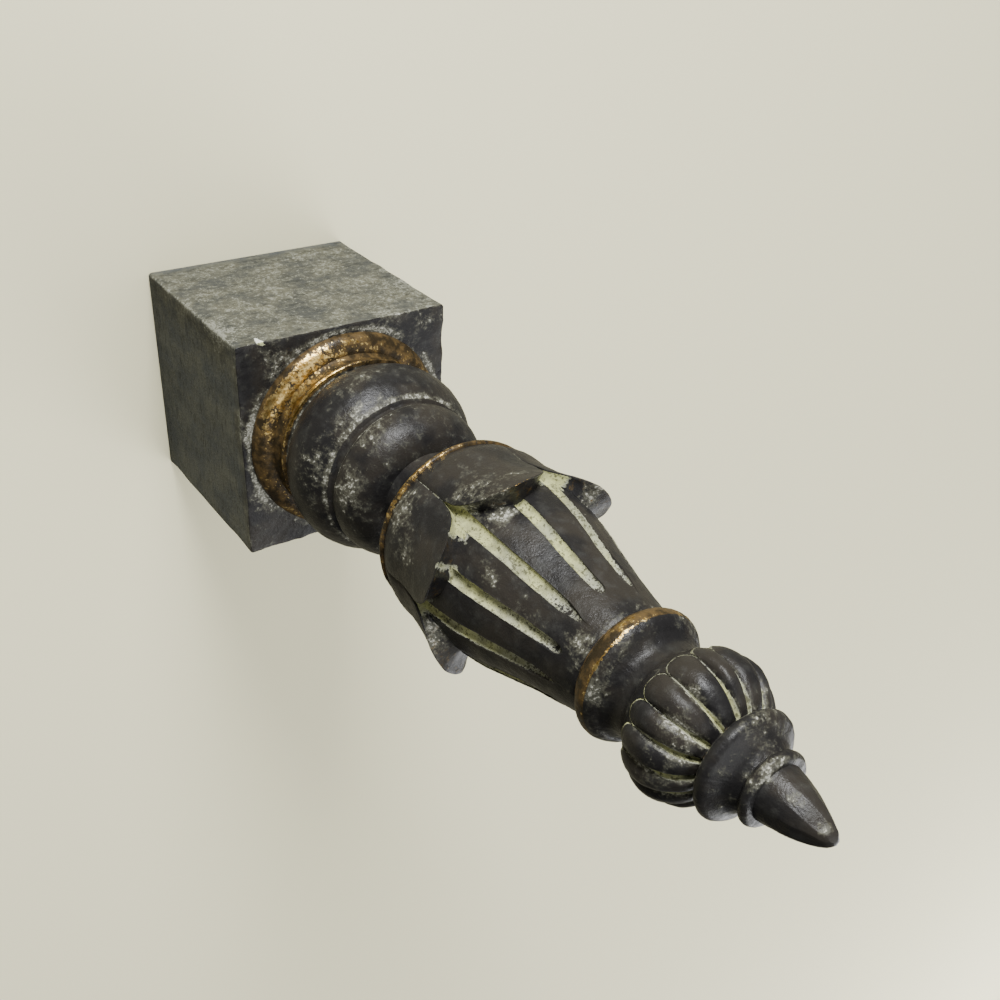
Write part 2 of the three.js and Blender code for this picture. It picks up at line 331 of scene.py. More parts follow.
# %% Spin the outline
columns = 336
merge_distance = 0.004 * MM
seed_plane_size = 0.01

bpy.ops.object.select_all(action="DESELECT")
bpy.ops.mesh.primitive_plane_add(size=seed_plane_size, location=(0, 0, 0))
finial = bpy.context.object
finial.name = "finial_carving"
bpy.ops.object.mode_set(mode="EDIT")
bpy.ops.mesh.select_all(action="SELECT")
bpy.ops.mesh.merge(type="CENTER")
for (radius, height), (next_radius, next_height) in zip(outline, outline[1:]):
    step = ((next_radius - radius) * MM, 0, (next_height - height) * MM)
    bpy.ops.mesh.extrude_region_move(TRANSFORM_OT_translate={"value": step})
bpy.ops.object.mode_set(mode="OBJECT")
row_number = finial.data.attributes.new("row", "INT", "POINT")
row_number.data.foreach_set("value", np.arange(len(outline)))

bpy.ops.object.mode_set(mode="EDIT")
bpy.ops.mesh.select_all(action="SELECT")
bpy.ops.mesh.spin(steps=columns, angle=math.tau, center=(0, 0, 0), axis=(0, 0, 1))
bpy.ops.mesh.select_all(action="SELECT")
bpy.ops.mesh.remove_doubles(threshold=merge_distance)
bpy.ops.mesh.normals_make_consistent(inside=False)
bpy.ops.object.mode_set(mode="OBJECT")
print("turned blank:", len(finial.data.vertices), "points; a full grid has", (len(outline) - 2) * columns + 2)

# %% [markdown]
# ## Squaring the block
#
# The drum at the foot becomes the square timber. Its rows have as many columns as the shaft, so we
# lay them along the four sides, six to each rounded corner. On the block's top the rows pass from
# square to round without a seam, so the finial stays one closed piece.

# %% The mesh as a grid of rows and columns
def as_grid(mesh):
    """Row and column of every point of the turned blank."""
    count = len(mesh.vertices)
    rows = np.zeros(count, int)
    mesh.attributes["row"].data.foreach_get("value", rows)
    places = np.zeros(count * 3)
    mesh.vertices.foreach_get("co", places)
    places = places.reshape(-1, 3)
    turn = np.degrees(np.arctan2(places[:, 1], places[:, 0]))
    return rows, np.round(turn * columns / 360).astype(int) % columns


def rows_in(*names):
    """The row numbers of one or more stretches."""
    return np.concatenate([np.arange(rows_of[name].start, rows_of[name].stop) for name in names])


point_row, point_column = as_grid(finial.data)
ornament_turn = 7.5
even_azimuth = ornament_turn + np.arange(columns) * 360 / columns
profile = np.array(outline)
radius = np.repeat(profile[:, :1], columns, axis=1)
height = np.repeat(profile[:, 1:], columns, axis=1)
azimuth = np.repeat(even_azimuth[None, :], len(outline), axis=0)
print("grid of", radius.shape[0], "rows and", radius.shape[1], "columns")

# %% Square outline of the block
block_corner_radius = 1.4
corner_columns = 3
quarter = columns // 4


def square_place(size):
    """Where each column lies on a rounded square of this half width."""
    along = (np.arange(columns) + round(ornament_turn * columns / 360) + quarter // 2) % columns
    side, step = along // quarter, along % quarter - quarter // 2
    straight = quarter // 2 - corner_columns
    corner = np.clip((np.abs(step) - straight) / corner_columns, 0, 1) * math.pi / 4
    flat = size - block_corner_radius
    across = np.sign(step) * np.where(
        np.abs(step) <= straight, flat * np.abs(step) / straight, flat + block_corner_radius * np.sin(corner))
    out = flat + block_corner_radius * np.cos(corner)
    facing = side * math.pi / 2
    return out * np.cos(facing) - across * np.sin(facing), out * np.sin(facing) + across * np.cos(facing)


x = radius * np.cos(np.radians(azimuth))
y = radius * np.sin(np.radians(azimuth))
for row in rows_in("underside", "lower arris", "block side", "upper arris")[1:]:
    x[row], y[row] = square_place(profile[row, 0])
square_x, square_y = square_place(half - block_bevel)
face_rows = rows_in("block top")
for row, share in zip(face_rows, np.linspace(0, 1, len(face_rows) + 1)[1:]):
    x[row] = mix(square_x, ring_foot_radius * np.cos(np.radians(even_azimuth)), share)
    y[row] = mix(square_y, ring_foot_radius * np.sin(np.radians(even_azimuth)), share)
radius = np.hypot(x, y)
azimuth = np.where(radius > 0, np.degrees(np.arctan2(y, x)), azimuth)
print("block corners reach", round(radius[rows_in("block side")].max(), 1), "mm from the axis")

# %% [markdown]
# ## Carving the leaves and flutes
#
# A leaf's edge is an arch from notch to notch, and a wall drops from it to the body. The flutes are
# gouged channels: those that start in a notch run out to a point, and those that start under a leaf
# tip end round. Booleans could cut them, but moving rows and columns keeps every arris on an edge.

# %% Leaf and body forms
leaf_pitch = 360 / leaf_count
flutes_per_leaf = 2
flute_pitch = leaf_pitch / flutes_per_leaf
flute_columns = columns // (leaf_count * flutes_per_leaf)
leaf_roundness = 1.9
leaf_valley_depth = 1.3
leaf_tip_undercut = 2
seam_depth = 0.5
seam_share = 0.985
leaf_arris = 0.9
flute_width = 4.7
flute_depth = 1.7
flute_end_gap = 8.4
flute_bowl = 2.6
flute_rim = 0.6
notch_run_out = 8.0
tip_run_out = 2.2
curve_steps = 80

leaf_face_curve = np.array(curve_through([
    (leaf_foot_radius, 0),
    (mix(leaf_foot_radius, leaf_bulge_radius, 0.85), 0.17 * leaf_tip_height),
    (leaf_bulge_radius, 0.42 * leaf_tip_height),
    (mix(leaf_bulge_radius, leaf_tip_radius, 0.4), 0.74 * leaf_tip_height),
    (leaf_tip_radius, leaf_tip_height),
], curve_steps))
body_curve = np.array(curve_through([
    (body_notch_radius, leaf_notch_height),
    (mix(body_notch_radius, body_middle_radius, 0.42), mix(leaf_notch_height, body_height, 0.25)),
    (body_middle_radius, mix(leaf_notch_height, body_height, 0.42)),
    (mix(body_middle_radius, body_end_radius, 0.58), mix(leaf_notch_height, body_height, 0.72)),
    (body_end_radius, body_height),
], curve_steps))
print("a flute every", flute_pitch, "degrees,", flute_columns, "columns wide")


# %% Helpers for curves and angles
def radius_on(curve, heights):
    """Radius of a curve at these heights, in millimetres."""
    return np.interp(heights, curve[:, 1], curve[:, 0])


def hand_wobble(angles, waves, seed):
    """A small waver round the piece, from -1 to 1, as a hand-guided tool leaves."""
    turns = np.radians(angles)
    first = np.sin(waves * turns + seed)
    return 0.6 * first + 0.4 * np.sin((2 * waves + 3) * turns + 2.3 * seed)


def from_nearest(angles, turn, pitch):
    """Signed angle from the nearest of a ring of equal features."""
    share = (angles - turn) / pitch
    return (share - np.round(share)) * pitch


print("75 degrees is", from_nearest(75, 0, leaf_pitch), "degrees past the nearest sixth")

# %% Columns follow the flutes
flute_step = np.arange(columns) % flute_columns
nearest_flute = np.arange(columns) // flute_columns + (flute_step > flute_columns // 2)
edge_steps = 4
channel_shares = np.array([0, 0.36, 0.68, 0.9, 1.0, 1.14])


def flute_azimuths(half_angle):
    """Azimuth of every column when the flutes have this half width, in degrees."""
    steps = np.minimum(flute_step, flute_columns - flute_step)
    side = np.where(flute_step <= flute_columns // 2, 1, -1)
    near = channel_shares[np.minimum(steps, edge_steps + 1)] * half_angle
    land = (steps - edge_steps - 1) / (flute_columns / 2 - edge_steps - 1)
    far = mix(channel_shares[-1] * half_angle, flute_pitch / 2, land)
    offset = side * np.where(steps <= edge_steps + 1, near, far)
    return ornament_turn + nearest_flute * flute_pitch + offset


column_flute = nearest_flute % (leaf_count * flutes_per_leaf)
notch_flute = column_flute % flutes_per_leaf == 0
flute_seed = 1.7 * column_flute
flute_end = body_height - flute_end_gap + 1.6 * np.sin(flute_seed) + np.where(notch_flute, 1.2, -0.6)
flute_girth = 1 + 0.05 * np.sin(2.1 * flute_seed)
print("flutes:", leaf_count * flutes_per_leaf, "of", flute_width, "mm")


def flute_opening(heights):
    """How open each column's flute is at these heights, from 0 past its end to 1."""
    run_out = np.where(notch_flute, notch_run_out, tip_run_out)
    past = np.clip((heights - flute_end + run_out) / run_out, 0, 1)
    return np.where(notch_flute, (1 - past) ** 0.55, np.sqrt(1 - past**2))


# %% Leaf faces
def leaf_share(angles):
    """0 at a leaf's middle, 1 at the notches."""
    return np.abs(from_nearest(angles, ornament_turn + leaf_pitch / 2, leaf_pitch)) / (leaf_pitch / 2)


def leaf_radius(angles, heights):
    """Radius of the leaves, which dip towards the notches as they rise."""
    growth = np.clip(heights / (0.4 * leaf_tip_height), 0, 1)
    return radius_on(leaf_face_curve, heights) - leaf_valley_depth * growth * leaf_share(angles) ** 2


start_angle = np.degrees(flute_width / 2 / body_middle_radius)
leaf_azimuth = flute_azimuths(start_angle)
share_of_leaf = leaf_share(leaf_azimuth)
edge_rise = np.clip(1 - share_of_leaf**leaf_roundness, 0, 1) ** (1 / leaf_roundness)
leaf_edge = mix(leaf_notch_height, leaf_tip_height, edge_rise) + 0.35 * hand_wobble(leaf_azimuth, 11, 0.4)
wall_foot = leaf_edge - leaf_tip_undercut * edge_rise
foot_radius = np.minimum(radius_on(body_curve, wall_foot), leaf_radius(leaf_azimuth, leaf_edge) - 0.3)

face_rows = rows_in("leaf face")
for row, share in zip(face_rows, np.linspace(0, 1, len(face_rows))):
    rise = mix(leaf_root, leaf_edge - leaf_arris, share)
    azimuth[row] = mix(even_azimuth, leaf_azimuth, min(1, 3 * share))
    radius[row] = leaf_radius(azimuth[row], rise) - seam_depth * (share_of_leaf > seam_share)
    height[row] = leaf_foot + rise
print("leaf edge runs from", round(leaf_edge.min(), 1), "to", round(leaf_edge.max(), 1), "mm")

# %% Leaf ends, with a rounded arris
edge_radius = leaf_radius(leaf_azimuth, leaf_edge)
wall_length = np.hypot(edge_radius - foot_radius, leaf_edge - wall_foot)
arris_share = np.minimum(0.45, leaf_arris / np.maximum(wall_length, 0.1))
end_rows = rows_in("leaf end")
arris_rows = 5
for number, row in enumerate(end_rows):
    azimuth[row] = leaf_azimuth
    if number < arris_rows:
        w = (number + 1) / arris_rows
        start_z = leaf_edge - leaf_arris
        start_r = leaf_radius(leaf_azimuth, start_z)
        stop_r = mix(edge_radius, foot_radius, arris_share)
        stop_z = mix(leaf_edge, wall_foot, arris_share)
        radius[row] = (1 - w) ** 2 * start_r + 2 * w * (1 - w) * edge_radius + w**2 * stop_r
        height[row] = leaf_foot + (1 - w) ** 2 * start_z + 2 * w * (1 - w) * leaf_edge + w**2 * stop_z
    else:
        w = mix(arris_share, 1, (number + 1 - arris_rows) / (len(end_rows) - arris_rows + 1))
        hollow = 0.35 * np.sin(math.pi * w) * np.minimum(1, wall_length / 6)
        radius[row] = mix(edge_radius, foot_radius, w)
        height[row] = leaf_foot + mix(leaf_edge, wall_foot, w) - hollow
print("leaf tips stand", round(radius[end_rows].max(), 1), "mm from the axis")

# %% Fluted body
# The body starts at the foot of each leaf end, and after an eighth of its rows nothing holds it in.
free_radius = 99
holding_part = 8
evening_share = 0.93
flute_mask = np.zeros_like(radius)
flute_age = np.zeros_like(radius)
body_list = rows_in("body")
for row, share in zip(body_list, np.linspace(0, 1, len(body_list))):
    rise = mix(wall_foot, body_height, share)
    opening = flute_opening(rise)
    held_in = mix(foot_radius, free_radius, min(1, holding_part * share))
    body_radius = np.minimum(radius_on(body_curve, rise), held_in)
    width = flute_width * flute_girth * mix(1.0, 0.8, share) * np.maximum(opening, 0.3)
    half_angle = np.degrees(width / 2 / body_radius)
    evened = max(0, (share - evening_share) / (1 - evening_share))
    azimuth[row] = mix(flute_azimuths(half_angle), even_azimuth, evened)
    across = np.abs(from_nearest(azimuth[row], ornament_turn, flute_pitch)) / half_angle
    inside = np.clip(1 - across**flute_bowl, 0, 1) ** flute_rim
    radius[row] = body_radius - flute_depth * inside * opening
    height[row] = leaf_foot + rise
    flute_mask[row] = np.clip(3.6 - 3 * across, 0, 1) * (opening > 0.02)
    flute_age[row] = share
print("body ends", round(2 * radius[body_list[-1]].max(), 1), "mm across")

# %% [markdown]
# ## Carving the gadroons
#
# Sixteen plump lobes run up the melon from round heads above a plain band, and the gouged lines
# between them widen towards the crown. They were set out by eye, so their spacing wanders by a few
# degrees, and we let the columns wander with them.

# %% Spacing of the gadroons
gadroon_count = 16
gadroon_turn = 4.5
gadroon_depth = 2.5
gadroon_fullness = 1.5
head_rise = 4.2
head_step = 0.7
channel_depth = 0.5
groove_wander = 3.2
step_rows = 3
lobe_columns = columns // gadroon_count
lobe_pitch = 360 / gadroon_count
column_lobe = (np.arange(columns) // lobe_columns).astype(float)
lobe_share = (np.arange(columns) % lobe_columns) / lobe_columns
first_groove = gadroon_turn + lobe_pitch * round((ornament_turn - gadroon_turn) / lobe_pitch)


def groove_place(number):
    """Azimuth of a groove, with the carver's uneven spacing."""
    wander = groove_wander * np.sin(2.4 * number + 0.6) * np.sin(math.pi * number / 8)
    return first_groove + lobe_pitch * number + wander


def lobe_spacing(share):
    """Columns lie closer at the grooves than across the lobes."""
    return share - 0.09 * np.sin(2 * math.pi * share)


groove_before, groove_after = groove_place(column_lobe), groove_place(column_lobe + 1)
lobe_azimuth = mix(groove_before, groove_after, lobe_spacing(lobe_share))
from_groove = np.minimum(lobe_spacing(lobe_share), 1 - lobe_spacing(lobe_share))
lobe_swell = np.sin(math.pi * from_groove)
head_line = head_rise * (1 - np.sqrt(np.clip(1 - (1 - 2 * from_groove) ** 2, 0, 1)))
print("first grooves at", np.round(groove_place(np.arange(4)), 1), "degrees")

# %% Band and gadroons
band_list, gadroon_list = rows_in("melon band"), rows_in("gadroons")
band_end = profile[band_list[-1], 1]
groove_mask = np.zeros_like(radius)
smear_mask = np.zeros_like(radius)
head_mask = np.zeros_like(radius)


def melon_surface(heights):
    """Radius of the uncarved melon at these heights."""
    return melon_radius * np.sqrt(1 - ((heights - melon_middle) / melon_half_height) ** 2)


for row, share in zip(band_list, np.linspace(0, 1, len(band_list))):
    azimuth[row] = mix(even_azimuth, lobe_azimuth, share)
    height[row] = profile[band_list[0], 1] + share * (band_end + head_line - profile[band_list[0], 1])
    radius[row] = melon_surface(height[row]) - head_step * min(1, 2 * share)
for number, row in enumerate(gadroon_list):
    azimuth[row] = lobe_azimuth
    foot = band_end + head_line
    along = max(0, number - step_rows + 1) / (len(gadroon_list) - step_rows)
    rising = min(1, (number + 1) / step_rows)
    height[row] = mix(foot + 0.55 * rising, melon_top, along)
    depth = gadroon_depth * np.clip(mix(0.35, 1, along * 2.4), 0, 1)
    lobes = melon_surface(height[row]) - depth * (1 - lobe_swell) ** gadroon_fullness
    channel_half = mix(0.35, 1.5, along**1.3)
    from_line = from_groove * np.radians(lobe_pitch) * radius[row]
    channel = np.clip(1 - (from_line / channel_half) ** 2, 0, 1) * (along > 0)
    radius[row] = lobes - head_step * (1 - rising) - channel_depth * channel
    groove_mask[row] = np.clip(1.25 - from_line / channel_half, 0, 1) * (along > 0.02)
    smear_mask[row] = np.clip(1.8 - from_line / channel_half, 0, 1) * (along > 0.02)
    head_mask[row] = np.clip(1.4 - np.abs(height[row] - foot - 0.5) / 0.8, 0, 1)
print("melon", round(2 * radius[gadroon_list].max(), 1), "mm across")

# %% [markdown]
# ## Facets on the bud
#
# The bud was whittled to its point after turning, so it has flat cuts. A bisect would open the mesh
# there, so a cut moves every point that stands proud of a plane back on to it.

# %% Whittle the bud
x = radius * np.cos(np.radians(azimuth))
y = radius * np.sin(np.radians(azimuth))
z = height.copy()
bud_list = rows_in("bud", "tip")


def cut_flat(rows, turn, lean, reach):
    """Plane away what stands past this reach from the origin, in millimetres."""
    direction = np.array([
        math.cos(turn) * math.cos(lean), math.sin(turn) * math.cos(lean), math.sin(lean)])
    proud = np.maximum(0, x[rows] * direction[0] + y[rows] * direction[1] + z[rows] * direction[2] - reach)
    x[rows] -= proud * direction[0]
    y[rows] -= proud * direction[1]
    z[rows] -= proud * direction[2]


# Each ring of cuts: its share of the bud's height, its lean in degrees and its bite in millimetres.
cut_rings = ((0.36, 17, 0.34), (0.68, 24, 0.4), (0.97, 52, 0.35))
cuts_in_ring = 5
facet_turn = math.radians(118)
for level, (share, lean, bite) in enumerate(cut_rings):
    middle_z = bud_foot + share * bud_height
    bud_r = np.interp(middle_z, profile[bud_list[:-1], 1], profile[bud_list[:-1], 0])
    for k in range(cuts_in_ring):
        turn = facet_turn + k * math.tau / cuts_in_ring + 0.3 * math.sin(3 * k * level)
        lean_angle = math.radians(lean)
        reach = bud_r * math.cos(lean_angle) + middle_z * math.sin(lean_angle) - bite
        cut_flat(bud_list, turn, lean_angle, reach)
print("bud cut with", len(cut_rings) * cuts_in_ring, "facets")

# %% [markdown]
# ## Back into the mesh
#
# So far the carving is a grid of numbers, and the mesh is still the turned blank. Each point knows
# its row and column, so one call gives them all their carved places.


# %% Put the carved places into the mesh
def poured(grid):
    """A value of the grid for every point of the mesh."""
    return grid[point_row, point_column]


pole = profile[point_row, 0] == 0
places = np.stack([poured(x), poured(y), poured(z)], axis=1)
places[pole, :2] = 0
finial.data.vertices.foreach_set("co", (places * MM).ravel())
finial.data.update()
print("carved mesh:", len(finial.data.polygons), "faces")

# %% [markdown]
# ## Wear and hand work in the shape
#
# Nothing on the real piece is machine-even: its faces wave, the paint is lumpy, and the block's
# arrises are rubbed round and chipped. Three Displace modifiers give that: a broad one, a fine one and
# one for the arrises. They take away more than they add, so the finial keeps its size. Sculpting
# could do it too, but never twice alike.

# %% Wear with Displace modifiers
worn_all = finial.vertex_groups.new(name="worn_all")
worn_arris = finial.vertex_groups.new(name="worn_arris")
kept_rows = set(rows_in("underside", "lower arris", "tip"))
free_points = [i for i, row in enumerate(point_row) if row not in kept_rows]
worn_all.add(free_points, 1.0, "REPLACE")

arris_reach = 3
wear_middle = 0.6
from_sides = half - np.maximum(np.abs(x), np.abs(y))
from_corner = half - np.minimum(np.abs(x), np.abs(y))
from_rim = np.maximum(from_sides, np.abs(block_height - z))
from_arris = np.where(z < block_height + 0.01, np.minimum(from_corner, from_rim), arris_reach)
arris_weight = poured(np.clip(1 - from_arris / arris_reach, 0, 1))
for i in free_points:
    if arris_weight[i] > 0.05:
        worn_arris.add([i], float(arris_weight[i]), "REPLACE")


def pick_only(piece):
    """Select this piece alone and make it the active one."""
    bpy.ops.object.select_all(action="DESELECT")
    piece.select_set(True)
    bpy.context.view_layer.objects.active = piece


pick_only(finial)
for title, grain_mm, depth_mm, group in (
    ("uneven_planing", 20, 0.8, "worn_all"),
    ("lumpy_paint", 3.6, 0.34, "worn_all"),
    ("rubbed_arris", 9, 1.3, "worn_arris"),
):
    texture = bpy.data.textures.new(title, "CLOUDS")
    texture.noise_scale = grain_mm * MM
    texture.noise_depth = 3
    wear = finial.modifiers.new(title, "DISPLACE")
    wear.texture = texture
    wear.texture_coords = "LOCAL"
    wear.mid_level = wear_middle
    wear.strength = depth_mm * MM
    wear.vertex_group = group
    bpy.ops.object.modifier_apply(modifier=wear.name)
    print(title, "takes up to", round(wear_middle * depth_mm, 2), "mm")

# %% [markdown]
# ## Where each finish shows
#
# A cream ground lies under the black paint and shows in the flutes, the gouged lines and the notches.
# Gilding lies on brown bole on the rings, and pale rubbing shows where hands and cloths caught an
# edge. The rubbing value also carries painted glints: pale patches where the lamp's highlight falls
# on the ball, the shoulder and the bud. Each of the four gets a value on every point, from 0 to
# about 1, and the paint's nodes break its border with noise. Gilding starts below 0, so that no noise
# brings out stray gold.

# %% Four values, and the plain rubbing of each moulding
cream = np.zeros_like(radius)
gilt = np.full_like(radius, -0.5)
bole = np.zeros_like(radius)
# Pale rubbing, and in a few patches painted glints of the lamp
rub_and_glint = np.full_like(radius, 0.38)
for title, level in (
    ("ring band", 0.25), ("ring cove", 0.25), ("ball", 0.5), ("quirk", 0.42), ("shoulder", 0.5),
    ("bell", 0.4), ("leaf face", 0.42), ("body", 0.36), ("neck", 0.42), ("melon band", 0.55),
    ("lower disc", 0.5), ("disc shoulder", 0.58), ("upper disc", 0.62), ("bud", 0.34), ("tip", 0.34),
):
    rub_and_glint[rows_in(title)] = level
print("rubbing runs from", rub_and_glint.min(), "to", rub_and_glint.max())


def near(value, middle, reach):
    """1 at a value, falling smoothly to 0 at this distance from it."""
    return np.exp(-((value - middle) / (0.6 * reach)) ** 2)


# %% Block, with its arrises and the face round the ring
ring_list = rows_in("block top")
from_ring = radius[ring_list] - ring_foot_radius
rub_and_glint[ring_list] = 0.46 + 0.5 * near(from_ring, 1.2, 2.6)
cream[ring_list] = 0.3 + 0.28 * near(from_ring, 1.3, 1.6)
# The side facing the key lamp is rubbed more, which gives it its own grey in the block's paint
lamp_side_share = np.clip(y[rows_in("block side")] / half, 0, 1) ** 3
rub_and_glint[rows_in("block side")] = 0.3 + 0.3 * lamp_side_share
arris_list = rows_in("block side", "upper arris")
rub_and_glint[arris_list] += 0.3 * np.clip(1 - from_arris[arris_list] / 1.2, 0, 1)
print("block rubbed up to", round(rub_and_glint[arris_list].max(), 2))

# %% Rings, ball and shoulder
# Gold is fullest at 132 degrees, where the lamp's glint meets the camera: real gilt and painted highlight
glint_gilt_azimuth = 132
toward_glint = near(from_nearest(azimuth, glint_gilt_azimuth, 360), 0, 52)
fat_band = rows_in("ring band")
band_gilt = np.clip((height[fat_band] - block_height - 0.8) / 2.4, 0, 1)
gilt[fat_band] = band_gilt * (0.34 + 0.58 * toward_glint[fat_band])
# The cove takes less gilding than band and fillet, so brown bole shows: painted shade in the hollow
for title, least, more in (("ring cove", 0.2, 0.5), ("ring fillet", 0.5, 0.62), ("cup fillet", 0.3, 0.42)):
    gilt[rows_in(title)] = least + more * toward_glint[rows_in(title)]
bole[rows_in("ring band", "ring cove", "ring fillet")] = 1
bole[rows_in("cup fillet")] = 0.6
rub_and_glint[rows_in("ball")[:2]] = 0.95
rub_and_glint[rows_in("ball")[-2:]] = 0.8
rub_and_glint[rows_in("quirk")[-2:]] = 0.85
print("gilding runs up to", round(gilt.max(), 2))

# %% Leaves and fluted body
leaf_list, wall_list = rows_in("leaf face"), rows_in("leaf end")
seam = np.where(share_of_leaf > seam_share)[0]
cream[np.ix_(leaf_list, seam)] = 0.72
gilt[wall_list[1:3]] = 0.28 + 0.2 * hand_wobble(leaf_azimuth, 5, 1.0)
toward_notch = np.clip((share_of_leaf - 0.6) / 0.28, 0, 1)
cream[wall_list[arris_rows - 1:]] = 0.82 * toward_notch
rub_and_glint[wall_list[arris_rows - 1:]] = 0.42 + 0.3 * toward_notch
bole[wall_list[2:]] = 0.4 * (1 - toward_notch)

wedge_reach = 8
below_wall = height[body_list] - leaf_foot - wall_foot
wedge = np.clip(1.3 - below_wall / np.maximum(wedge_reach * toward_notch, 0.1), 0, 1) * (toward_notch > 0.3)
young = np.clip((0.86 - flute_age[body_list]) / 0.4, 0, 1)
cream[body_list] = np.maximum(flute_mask[body_list] * mix(0.62, 1.0, young), 0.72 * wedge)
from_collar = collar_foot - height[body_list]
rub_and_glint[body_list] += 0.3 * near(from_collar, 0, 7) + 0.2 * wedge
print("cream on", round(100 * (cream[body_list] > 0.5).mean()), "% of the body's points")

# %% Collar, melon and crown
collar_list = rows_in("collar")
gold_line = collar_foot + collar_round + 1.7
band_part = height[collar_list] < gold_line
# The gold line, too, is fullest on the glint side: real gilt and painted highlight
line_gilt = near(height[collar_list], gold_line, 1.0) * (0.45 + 0.5 * toward_glint[collar_list])
bole[collar_list] = np.where(band_part, 0.9, 0)
gilt[collar_list] = np.where(band_part, 0.16, 0) + line_gilt
rub_and_glint[collar_list] = np.where(band_part, 0.42, 0.6)
lobe_along = np.linspace(0, 1, len(gadroon_list))[:, None]
groove_cream = groove_mask[gadroon_list] * mix(0.62, 1.0, lobe_along)
cream[gadroon_list] = np.maximum(groove_cream, 0.9 * head_mask[gadroon_list])
rub_and_glint[gadroon_list] = 0.36 + 0.4 * head_mask[gadroon_list] + 0.3 * smear_mask[gadroon_list]
bole[rows_in("crown neck")] = 0.4
rub_and_glint[rows_in("lower disc")[1:4]] = 0.72
print("cream on", round(100 * (cream[gadroon_list] > 0.5).mean()), "% of the gadroons' points")

# %% [markdown]
# ## Scuffs and patches
#
# Years of handling left pale scuffs, and cream where the paint came off. The ovals at the lamp's glint
# on the ball, shoulder and bud are painted glints. We could paint them on, but as soft ovals, each with
# its azimuth and height, they are easy to move.

# %% Scuffs and patches that the years left, and painted glints
def patch(value, turn, level, wide, long, strength):
    """Raise a value in an oval at this azimuth and height, wide and long in millimetres."""
    around = np.radians(from_nearest(azimuth, turn, 360)) * radius / (wide / 2)
    value += strength * np.exp(-(around**2 + ((height - level) / (long / 2)) ** 2))


def chip(value, place, size, strength):
    """Raise a value round one place of the block, in millimetres."""
    away = ((x - place[0]) ** 2 + (y - place[1]) ** 2 + (z - place[2]) ** 2) / (size / 2) ** 2
    value += strength * np.exp(-away)


for value, patches in (
    (rub_and_glint, (
        # Leaves, and the body above them
        (115, 211, 12, 10, 0.42), (108, 213, 8, 5, 0.36), (104, 214, 4, 3, 0.36), (143, 223, 9, 12, 0.4),
        (150, 240, 12, 14, 0.2), (118, 199, 14, 14, 0.44), (96, 203, 14, 5, 0.3), (147, 178, 16, 18, 0.44),
        (165, 190, 12, 16, 0.34), (45, 211, 9, 8, 0.5), (-160, 207, 14, 12, 0.44),
        # Ball and shoulder; those at 112 to 120 degrees are painted glints of the lamp
        (165, 124, 26, 13, 0.3), (168, 142, 18, 10, 0.34), (120, 127, 22, 4, 0.34), (112, 118, 26, 8, 0.16),
        (120, 138, 16, 9, 0.22),
        # The body's end, collar and melon
        (142, 257, 9, 9, 0.4), (163, 272, 10, 7, 0.3), (138, 300, 8, 8, 0.24), (178, 300, 30, 13, 0.3),
        (150, 304, 12, 6, 0.2), (112, 299, 6, 7, 0.3),
        # Discs and bud; on the bud, the two at 116 degrees are painted highlights over pale wear
        (92, 313, 14, 4, 0.34), (112, 324, 9, 4, 0.42), (116, 333, 6, 5, 0.5), (116, 341.5, 5, 3.4, 0.65),
    )),
    (cream, ((153, 211, 6, 4, 0.8), (59, 205, 9, 8, 0.6), (137, 208, 7, 18, 0.66), (186, 303, 20, 8, 0.3))),
    (gilt, ((102, 212, 11, 2.4, 0.6), (108, 266.5, 13, 5, 0.5))),
):
    for turn, level, wide, long, strength in patches:
        patch(value, turn, level, wide, long, strength)
for face_place in ((-41.4, 10.4), (-38.6, -21.5), (36, 39.8), (-30, 38), (20, 43)):
    chip(rub_and_glint, (*face_place, block_height), 13, 0.3)
chip(cream, (-34.7, 44.6, block_height - 0.3), 2.8, 1.6)
chip(rub_and_glint, (-45, 45, 70), 16, 0.3)
chip(rub_and_glint, (45, 45, 60), 14, 0.3)

for title, grid in (("cream", cream), ("gilt", gilt), ("bole", bole), ("rub_and_glint", rub_and_glint)):
    layer = finial.data.attributes.new(title, "FLOAT", "POINT")
    layer.data.foreach_set("value", poured(grid).astype(np.float32))
finial.data.attributes.remove(finial.data.attributes["row"])
print("finishes stored:", [a.name for a in finial.data.attributes if a.domain == "POINT"])

# %% [markdown]
# ## Smooth curves, crisp arrises
#
# A turned curve is smooth, and a gouge leaves a crisp arris. Smoothing by angle gives both in one
# step, with no marked edges. The piece then takes the place of the plain solid.

# %% Smooth the curves and keep the arrises
arris_angle = 38
pick_only(finial)
bpy.ops.object.shade_smooth_by_angle(angle=math.radians(arris_angle))
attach(finial, "root")
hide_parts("finial")
print(finial.name, "replaces finial,", len(finial.data.polygons), "faces")

# %% [markdown]
# ## Colours, nodes and coats
#
# Colours are picked as sRGB hex values, as from a paint card, and turned to the linear values that
# the renderer works in. One function adds a node, with a value or another node's output in each
# socket. A painter works in coats, so each coat is one line of a table: what lies under it, what goes
# over, the value that says where, the grains that break its border, and how high their sum must be.

# %% Helpers for materials
# The places of the colours among the sockets of a Mix node.
COLOUR_A, COLOUR_B, MIXED_COLOUR = 6, 7, 2


def linear(hex_colour):
    """An sRGB colour such as "#c9caa4" as linear red, green, blue and alpha."""
    parts = [int(hex_colour[i:i + 2], 16) / 255 for i in (1, 3, 5)]
    curve = [p / 12.92 if p <= 0.04045 else ((p + 0.055) / 1.055) ** 2.4 for p in parts]
    return (*curve, 1.0)


def emptied_tree(owner):
    """The node tree of a material or a world, with nothing in it yet."""
    owner.use_nodes = True
    owner.node_tree.nodes.clear()
    return owner.node_tree


